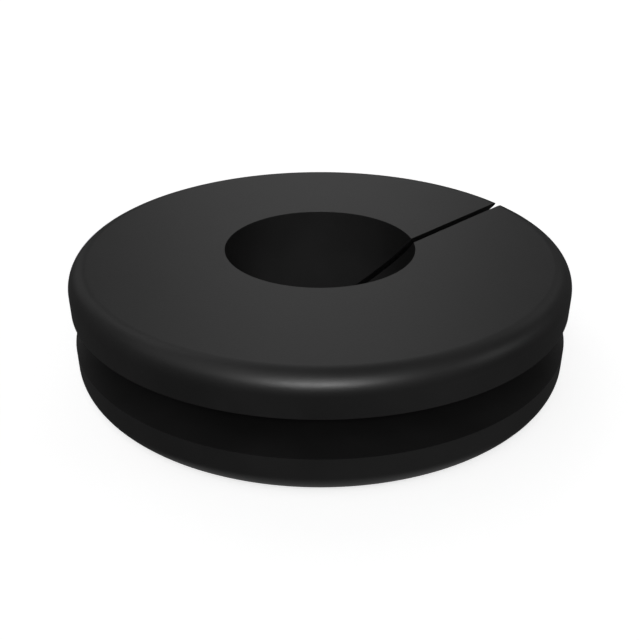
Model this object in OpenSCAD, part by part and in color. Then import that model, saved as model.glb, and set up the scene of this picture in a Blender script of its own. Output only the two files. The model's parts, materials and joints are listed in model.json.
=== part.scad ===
// Slit rubber grommet for a round hole in a sheet panel.
//
// One soft moulding: two equal flanges, a groove between them that takes the
// panel's edge, a straight bore for the cable, and one leaning slit from the
// bore to the rim that lets the grommet be opened over a cable.
//
// Millimetres, +Z up. The origin is on the bore's axis, on the bottom face.

/* [Flanges] */
// Outer diameter of both flanges
flange_d = 26; // [22:0.5:40]
// Thickness of each flange
flange_t = 2; // [1.2:0.1:3.4]
// Radius of the quarter round on the outer edge of each outer face
edge_r = 1; // [0.2:0.1:1.8]

/* [Panel groove] */
// Diameter at the bottom of the groove, the diameter of the panel's hole
groove_d = 20; // [18:0.5:21]
// Width of the groove, the thickness of the panel
groove_w = 2; // [0.8:0.1:4]

/* [Bore] */
// Diameter of the cable bore
bore_d = 10; // [7:0.5:17]

/* [Slit] */
// Gap between the two faces of the slit
slit_gap = 0.3; // [0.1:0.02:0.8]
// Direction in which the slit leaves the bore, counter-clockwise from +X
slit_turn = 45; // [0:5:355]
// Lean of the slit's faces away from the bore's axis
slit_lean = 45; // [0:5:50]

/* [Hidden] */

// Height over both outer faces
height = 2 * flange_t + groove_w;
flange_r = flange_d / 2;
groove_r = groove_d / 2;
bore_r = bore_d / 2;
// How far a cutting solid runs past the surface that it opens
overrun = 1;
// Length of the slit's cutter up the leaning faces, past both outer faces
slit_reach = height / cos(slit_lean) + 2 * overrun;

$fn = 96;

module quarter_disc(r) {
    intersection() {
        circle(r);
        square(r);
    }
}

// Half section of one flange, its groove face on the X axis
module flange_section() {
    square([flange_r - edge_r, flange_t]);
    square([flange_r, flange_t - edge_r]);
    translate([flange_r - edge_r, flange_t - edge_r])
        quarter_disc(edge_r);
}

// One flange, its groove face down on Z = 0 and its rounded edge on top
module flange() {
    rotate_extrude()
        flange_section();
}

// The bottom of the groove, which joins the two flanges
module neck() {
    translate([0, 0, flange_t])
        cylinder(h = groove_w, r = groove_r);
}

module cable_bore() {
    translate([0, 0, -overrun])
        cylinder(h = height + 2 * overrun, r = bore_r);
}

// A thin leaning slab from the bore's axis out past the rim. It passes
// through the bore's axis at half the height of the grommet.
module slit() {
    translate([0, 0, height / 2])
        rotate([0, 0, slit_turn])
            rotate([slit_lean, 0, 0])
                translate([0, -slit_gap / 2, -slit_reach / 2])
                    cube([flange_r + overrun, slit_gap, slit_reach]);
}

module grommet() {
    color("#1d1d1e")
        difference() {
            union() {
                translate([0, 0, flange_t + groove_w])
                    flange();
                neck();
                translate([0, 0, flange_t])
                    mirror([0, 0, 1])
                        flange();
            }
            cable_bore();
            slit();
        }
}

grommet();
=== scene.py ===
"""Looks of a slit rubber grommet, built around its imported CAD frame."""

import json
import math

import bpy
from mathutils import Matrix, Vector
from mathutils.geometry import delaunay_2d_cdt

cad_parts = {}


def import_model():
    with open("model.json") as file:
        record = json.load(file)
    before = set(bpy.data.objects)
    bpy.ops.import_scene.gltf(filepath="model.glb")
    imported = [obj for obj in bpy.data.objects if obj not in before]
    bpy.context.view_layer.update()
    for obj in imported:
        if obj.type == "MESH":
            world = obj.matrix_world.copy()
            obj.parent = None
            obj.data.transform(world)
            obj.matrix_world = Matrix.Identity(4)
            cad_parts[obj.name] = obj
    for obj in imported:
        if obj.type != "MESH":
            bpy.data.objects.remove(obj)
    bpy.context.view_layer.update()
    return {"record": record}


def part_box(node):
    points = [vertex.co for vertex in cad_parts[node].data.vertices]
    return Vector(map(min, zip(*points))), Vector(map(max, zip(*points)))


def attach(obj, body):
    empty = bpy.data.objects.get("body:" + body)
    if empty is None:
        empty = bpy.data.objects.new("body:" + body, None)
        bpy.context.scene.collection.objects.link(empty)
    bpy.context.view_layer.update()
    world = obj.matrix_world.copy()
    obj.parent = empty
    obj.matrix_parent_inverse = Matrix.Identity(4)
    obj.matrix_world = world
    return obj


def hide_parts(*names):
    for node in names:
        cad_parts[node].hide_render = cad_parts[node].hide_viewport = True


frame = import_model()

MM = 0.001
QUARTER_TURN = math.radians(90)

# Sizes that the frame gives, in metres
NODE = "grommet"
mounts = {mount["name"]: mount["dims"] for mount in frame["record"]["mounts"]}
node_low, node_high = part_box(NODE)
HEIGHT = node_high.z - node_low.z
FLANGE_R = min(node_high.x - node_low.x, node_high.y - node_low.y) / 2
BORE_R = mounts["cable_bore"]["r_mm"] * MM
GROOVE_R = mounts["panel_groove"]["r_mm"] * MM
GROOVE_W = mounts["panel_groove"]["length_mm"] * MM
FLANGE_T = (HEIGHT - GROOVE_W) / 2

# Sizes that the CAD solid has and the frame doesn't name
EDGE_R = 1.0 * MM
SLIT_GAP = 0.3 * MM
SLIT_TURN = math.radians(45)
SLIT_LEAN = math.radians(45)
ALONG_SLIT = Vector((math.cos(SLIT_TURN), math.sin(SLIT_TURN), 0))

# Roundings that the CAD solid leaves out. SLIT_BREAK has to be the smallest.
RIM_BREAK = 0.02 * MM
ROOT_FILLET = 0.15 * MM
SLIT_BREAK = 0.005 * MM

# How finely the moulding is divided
COLUMNS = 384
BREAK_STEPS = 4
EDGE_STEPS = 14
# How far round the ring the columns still lean with the slit
LEAN_FADE = math.radians(100)

# The rubber's two finishes: the moulded skin, and the faces that a blade has cut
SATIN = 0.40
MATT = 0.9
# Bloom: soft patches of a slightly paler and rougher skin
BLACK = (0.009, 0.009, 0.009, 1)
BLOOMED = (0.0122, 0.012, 0.0121, 1)
BLOOM_SIZE = 3.0 * MM
BLOOM_DETAIL = 4
BLOOM_ROUGHNESS = 0.012
# Ripple: the slow unevenness of a moulding that has shrunk
RIPPLE_SIZE = 1.8 * MM
RIPPLE_DETAIL = 1
RIPPLE_DEPTH = 0.003 * MM
# Grain: the mould's fine texture
GRAIN_SIZE = 0.12 * MM
GRAIN_DETAIL = 3
GRAIN_DEPTH = 0.003 * MM
GRAIN_ROUGHNESS = 0.015
# The range in which nearly all of a noise texture's values lie
NOISE_LOW = 0.3
NOISE_HIGH = 0.7

# The camera: its distance from the point that it looks at, that point's height, and how far it looks down.
# These and LENS are a scratch program's fit to the photo's outline and edges.
CAMERA_DISTANCE = 46.52 * MM
CAMERA_TARGET = Vector((0, 0, 1.553 * MM))
CAMERA_PITCH = math.radians(28.384)
LENS = 47.33
SENSOR = 36

# The stage
FLOOR_SIZE = 1.6
FLOOR_GREY = 0.8
FLOOR_GLOW = 0.55
SURROUND_LOW = 0.033
SURROUND_HIGH = 0.115
BACKDROP = 1.0
WHITE = (1, 1, 1, 1)

# Soft lamps far off: name, azimuth, elevation, width, strength. Azimuth 0 is on the camera's side and 90
# is at +X. Angles are in degrees. The small bright pair makes the highlight on the front edge.
# This table wasn't designed by hand. A scratch program picked the lamps out of lists of candidates, and
# worked out their strengths and the two SURROUND levels by a least-squares fit to the photo's tones. They
# were then rounded. The pair stands in for one of its lamps. The pair's strengths and key_skirt's are from a
# second fit, then raised.
LAMPS = [
    ("key_left", -8, 35, 8, 0.65),
    ("key_right", 8, 35, 8, 0.51),
    ("key_skirt", 0, 45, 40, 0.64),
    ("left", -60, 55, 60, 0.29),
    ("left_back_high", -140, 50, 25, 0.08),
    ("left_back_low", -140, 20, 25, 0.03),
    ("back_high", 180, 50, 40, 0.055),
    ("back", 180, 35, 25, 0.067),
    ("back_low", 180, 20, 25, 0.023),
    ("right_back", 140, 35, 25, 0.04),
    ("right", 80, 25, 25, 0.133),
    ("below", 0, -90, 70, 0.29),
    ("below_right", 60, -45, 60, 0.04),
]


def corner_points(corner, way_in, way_out, radius, steps):
    """One corner of the section. With no radius it is a sharp point, with a normal on each side."""
    normal_in = Vector((way_in.y, -way_in.x))
    normal_out = Vector((way_out.y, -way_out.x))
    if radius == 0:
        return [(corner, normal_in, normal_out)]
    convex = 1 if way_in.cross(way_out) > 0 else -1
    centre = corner + (way_out - way_in) * radius
    points = []
    for step in range(steps + 1):
        a = QUARTER_TURN * step / steps
        out = way_in * math.sin(a) - way_out * math.cos(a)
        points.append((centre + out * radius, out * convex, out * convex))
    return points


def outline():
    """The half section, counter-clockwise: each point with its outward normals before and after it."""
    top, shelf_low, shelf_high = HEIGHT, FLANGE_T, FLANGE_T + GROOVE_W
    # corner r, z, radius, steps round the corner, steps along the straight to the next corner
    corners = [
        (BORE_R, 0, RIM_BREAK, BREAK_STEPS, 10),
        (FLANGE_R, 0, EDGE_R, EDGE_STEPS, 6),
        (FLANGE_R, shelf_low, 0, 0, 6),
        (GROOVE_R, shelf_low, ROOT_FILLET, BREAK_STEPS, 8),
        (GROOVE_R, shelf_high, ROOT_FILLET, BREAK_STEPS, 6),
        (FLANGE_R, shelf_high, 0, 0, 6),
        (FLANGE_R, top, EDGE_R, EDGE_STEPS, 10),
        (BORE_R, top, RIM_BREAK, BREAK_STEPS, 24),
    ]
    points = []
    for i, (r, z, radius, corner_steps, run_steps) in enumerate(corners):
        corner = Vector((r, z))
        before = Vector(corners[i - 1][:2])
        after_r, after_z, after_radius = corners[(i + 1) % len(corners)][:3]
        after = Vector((after_r, after_z))
        way_in = (corner - before).normalized()
        way_out = (after - corner).normalized()
        points += corner_points(corner, way_in, way_out, radius, corner_steps)
        start = corner + way_out * radius
        end = after - way_out * after_radius
        normal = Vector((way_out.y, -way_out.x))
        for step in range(1, run_steps):
            points.append((start.lerp(end, step / run_steps), normal, normal))
    return points


def around(angle, flat):
    """A point or direction of the half section, turned by an angle round the bore's axis."""
    return Vector((math.cos(angle) * flat.x, math.sin(angle) * flat.x, flat.y))


def slit_offset(side, height, from_face):
    """Offset in plan, at a height, of the plane that lies from_face deep in the rubber beside the slit.

    The side is 1 on the face of the slit where the ring starts, and -1 on the other.
    """
    reach = side * (SLIT_GAP / 2 + from_face)
    return (reach - (height - HEIGHT / 2) * math.sin(SLIT_LEAN)) / math.cos(SLIT_LEAN)


def fade(angle):
    """1 at the slit, easing to 0 at LEAN_FADE round the ring from it."""
    t = min(angle / LEAN_FADE, 1)
    return 1 - t * t * (3 - 2 * t)


def ring_angle(r, z, share):
    """The angle at which a column passes r and z, when it lies at a share of the way round the ring."""
    first = math.asin(slit_offset(1, z, SLIT_BREAK) / r)
    last = math.asin(slit_offset(-1, z, SLIT_BREAK) / r)
    turn = 2 * math.pi * share
    return SLIT_TURN + turn + first * fade(turn) + last * fade(2 * math.pi - turn)


def ring_column(section, share):
    """One column of the ring, at a share of the way from the slit's first face round to its last."""
    rows = []
    for place, before, after in section:
        angle = ring_angle(place.x, place.y, share)
        rows.append((around(angle, place), around(angle, before), around(angle, after)))
    return rows


def break_column(section, side, share):
    """One column of the rounding between a face of the slit, at share 0, and the ring, at share 1."""
    across = Vector((-ALONG_SLIT.y, ALONG_SLIT.x, 0))
    slit_normal = across * math.cos(SLIT_LEAN) + Vector((0, 0, math.sin(SLIT_LEAN)))
    a = QUARTER_TURN * share
    rows = []
    for place, before, after in section:
        mitre = (before + after) / (1 + before.dot(after))
        inner = place - mitre * SLIT_BREAK * (1 - math.sin(a))
        offset = slit_offset(side, inner.y, SLIT_BREAK * (1 - math.cos(a)))
        angle = SLIT_TURN + math.asin(offset / inner.x)
        normals = []
        for normal in (before, after):
            facing = around(angle, normal) * math.sin(a) - slit_normal * side * math.cos(a)
            normals.append(facing.normalized())
        rows.append((around(angle, inner), *normals))
    return rows


def slit_face(column):
    """The triangles that fill the face of the slit inside a column, as rows of the column."""
    flat = [Vector((at.dot(ALONG_SLIT), at.z)) / MM for at, _, _ in column]
    rim = list(range(len(flat)))
    inside_only = 1
    filled = delaunay_2d_cdt(flat, [], [rim], inside_only, 0)
    triangles, flat_origins = filled[2], filled[3]
    return [tuple(flat_origins[corner][0] for corner in triangle) for triangle in triangles]


def moulding():
    """The grommet as one closed mesh, swept from one face of the slit round to the other.

    The sweep is all quads, and the two faces of the slit are all triangles.
    """
    section = outline()
    breaks = [step / BREAK_STEPS for step in range(BREAK_STEPS)]
    columns = [break_column(section, 1, share) for share in breaks]
    columns += [ring_column(section, step / COLUMNS) for step in range(COLUMNS + 1)]
    columns += [break_column(section, -1, share) for share in reversed(breaks)]
    rows = len(section)
    points = [point for column in columns for point in column]
    vertices = [at for at, _, _ in points]
    before = [normal for _, normal, _ in points]
    after = [normal for _, _, normal in points]

    faces = []
    normals = []
    for c in range(len(columns) - 1):
        for r in range(rows):
            here = c * rows + r
            up = c * rows + (r + 1) % rows
            faces.append((here, here + rows, up + rows, up))
            normals += [after[here], after[here + rows], before[up + rows], before[up]]
    last = (len(columns) - 1) * rows
    cuts = slit_face(columns[0])
    cuts += [tuple(last + row for row in reversed(triangle)) for triangle in slit_face(columns[-1])]
    faces += cuts
    normals += [after[i] for triangle in cuts for i in triangle]

    mesh = bpy.data.meshes.new("grommet_moulding")
    mesh.from_pydata(vertices, [], faces)
    mesh.shade_smooth()
    mesh.normals_split_custom_set(normals)
    mesh.update()
    made = bpy.data.objects.new("grommet_moulding", mesh)
    bpy.context.scene.collection.objects.link(made)
    return made


def noise(tree, feature, detail):
    """A noise texture on the object's own coordinates, with lumps of about the given size."""
    place = tree.nodes.new("ShaderNodeTexCoord")
    made = tree.nodes.new("ShaderNodeTexNoise")
    made.inputs["Scale"].default_value = 1 / feature
    made.inputs["Detail"].default_value = detail
    tree.links.new(place.outputs["Object"], made.inputs["Vector"])
    return made.outputs["Fac"]


def spread(tree, value, least, most):
    """Spreads a noise's usual range over least to most."""
    made = tree.nodes.new("ShaderNodeMapRange")
    made.inputs["From Min"].default_value = NOISE_LOW
    made.inputs["From Max"].default_value = NOISE_HIGH
    made.inputs["To Min"].default_value = least
    made.inputs["To Max"].default_value = most
    tree.links.new(value, made.inputs["Value"])
    return made.outputs["Result"]


def add(tree, first, second):
    """The sum of two values."""
    made = tree.nodes.new("ShaderNodeMath")
    tree.links.new(first, made.inputs[0])
    tree.links.new(second, made.inputs[1])
    return made.outputs["Value"]


def bump(tree, height, depth, below=None):
    """Raises the surface by depth where height is 1, on top of the bump below it."""
    made = tree.nodes.new("ShaderNodeBump")
    made.inputs["Distance"].default_value = depth
    tree.links.new(height, made.inputs["Height"])
    if below is not None:
        tree.links.new(below, made.inputs["Normal"])
    return made.outputs["Normal"]


def rubber(name, roughness):
    """Black rubber with a fine grain, and a bloom so faint that it only just shows."""
    material = bpy.data.materials.new(name)
    material.use_nodes = True
    tree = material.node_tree
    shader = tree.nodes["Principled BSDF"]

    bloom = noise(tree, BLOOM_SIZE, BLOOM_DETAIL)
    tint = tree.nodes.new("ShaderNodeMix")
    tint.data_type = "RGBA"
    tint.inputs["A"].default_value = BLACK
    tint.inputs["B"].default_value = BLOOMED
    tree.links.new(spread(tree, bloom, 0, 1), tint.inputs["Factor"])
    tree.links.new(tint.outputs["Result"], shader.inputs["Base Color"])

    grain = noise(tree, GRAIN_SIZE, GRAIN_DETAIL)
    patches = spread(tree, bloom, roughness - BLOOM_ROUGHNESS, roughness + BLOOM_ROUGHNESS)
    pores = spread(tree, grain, -GRAIN_ROUGHNESS, GRAIN_ROUGHNESS)
    tree.links.new(add(tree, patches, pores), shader.inputs["Roughness"])

    ripple = bump(tree, noise(tree, RIPPLE_SIZE, RIPPLE_DETAIL), RIPPLE_DEPTH)
    tree.links.new(bump(tree, grain, GRAIN_DEPTH, ripple), shader.inputs["Normal"])
    return material


def floor_paint():
    """A dull pale paint that glows a little, so that the floor stays pale under soft light."""
    material = bpy.data.materials.new("pale_floor")
    material.use_nodes = True
    shader = material.node_tree.nodes["Principled BSDF"]
    shader.inputs["Base Color"].default_value = (FLOOR_GREY, FLOOR_GREY, FLOOR_GREY, 1)
    shader.inputs["Roughness"].default_value = 1
    shader.inputs["Specular IOR Level"].default_value = 0
    shader.inputs["Emission Color"].default_value = WHITE
    shader.inputs["Emission Strength"].default_value = FLOOR_GLOW
    return material


def floor():
    """A plain pale floor under the object."""
    mesh = bpy.data.meshes.new("floor")
    size = FLOOR_SIZE
    corners = [(-size, -size, 0), (size, -size, 0), (size, size, 0), (-size, size, 0)]
    mesh.from_pydata(corners, [], [(0, 1, 2, 3)])
    mesh.materials.append(floor_paint())
    made = bpy.data.objects.new("floor", mesh)
    bpy.context.scene.collection.objects.link(made)
    # The light on the object comes from the lamps and the world alone
    made.visible_diffuse = False
    made.visible_glossy = False
    made.visible_shadow = False


def camera():
    """The camera, which looks at a point on the bore's axis just above the floor."""
    data = bpy.data.cameras.new("camera")
    data.sensor_width = SENSOR
    data.lens = LENS
    data.clip_start = 1 * MM
    data.clip_end = 10
    made = bpy.data.objects.new("camera", data)
    bpy.context.scene.collection.objects.link(made)
    towards = Vector((0, -math.cos(CAMERA_PITCH), math.sin(CAMERA_PITCH)))
    made.location = CAMERA_TARGET + towards * CAMERA_DISTANCE
    made.rotation_euler = (QUARTER_TURN - CAMERA_PITCH, 0, 0)
    bpy.context.scene.camera = made


def lamp(name, azimuth, elevation, width, strength):
    """A round soft light far off, as LAMPS describes it."""
    a, e = math.radians(azimuth), math.radians(elevation)
    towards = Vector((math.sin(a) * math.cos(e), -math.cos(a) * math.cos(e), math.sin(e)))
    data = bpy.data.lights.new(name, "SUN")
    data.angle = math.radians(width)
    data.energy = strength
    made = bpy.data.objects.new(name, data)
    bpy.context.scene.collection.objects.link(made)
    made.rotation_mode = "QUATERNION"
    made.rotation_quaternion = towards.to_track_quat("Z", "Y")


def world():
    """Faint light from all round, dimmer from below, and a white backdrop for the camera."""
    made = bpy.data.worlds.new("studio")
    made.use_nodes = True
    tree = made.node_tree
    surround = tree.nodes["Background"]
    surround.inputs["Color"].default_value = WHITE
    place = tree.nodes.new("ShaderNodeTexCoord")
    split = tree.nodes.new("ShaderNodeSeparateXYZ")
    tree.links.new(place.outputs["Generated"], split.inputs["Vector"])
    level = tree.nodes.new("ShaderNodeMapRange")
    level.inputs["From Min"].default_value = -1
    level.inputs["To Min"].default_value = SURROUND_LOW
    level.inputs["To Max"].default_value = SURROUND_HIGH
    tree.links.new(split.outputs["Z"], level.inputs["Value"])
    tree.links.new(level.outputs["Result"], surround.inputs["Strength"])

    backdrop = tree.nodes.new("ShaderNodeBackground")
    backdrop.inputs["Color"].default_value = WHITE
    backdrop.inputs["Strength"].default_value = BACKDROP
    ray = tree.nodes.new("ShaderNodeLightPath")
    mix = tree.nodes.new("ShaderNodeMixShader")
    tree.links.new(ray.outputs["Is Camera Ray"], mix.inputs["Fac"])
    tree.links.new(surround.outputs["Background"], mix.inputs[1])
    tree.links.new(backdrop.outputs["Background"], mix.inputs[2])
    tree.links.new(mix.outputs["Shader"], tree.nodes["World Output"].inputs["Surface"])
    bpy.context.scene.world = made


piece = moulding()
piece.data.materials.append(rubber("moulded_rubber", SATIN))
piece.data.materials.append(rubber("cut_rubber", MATT))
for face in piece.data.polygons:
    # The slit's faces are the moulding's only triangles
    face.material_index = 1 if len(face.vertices) == 3 else 0
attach(piece, "root")
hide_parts(NODE)

floor()
camera()
for row in LAMPS:
    lamp(*row)
world()
bpy.context.scene.view_settings.view_transform = "Standard"
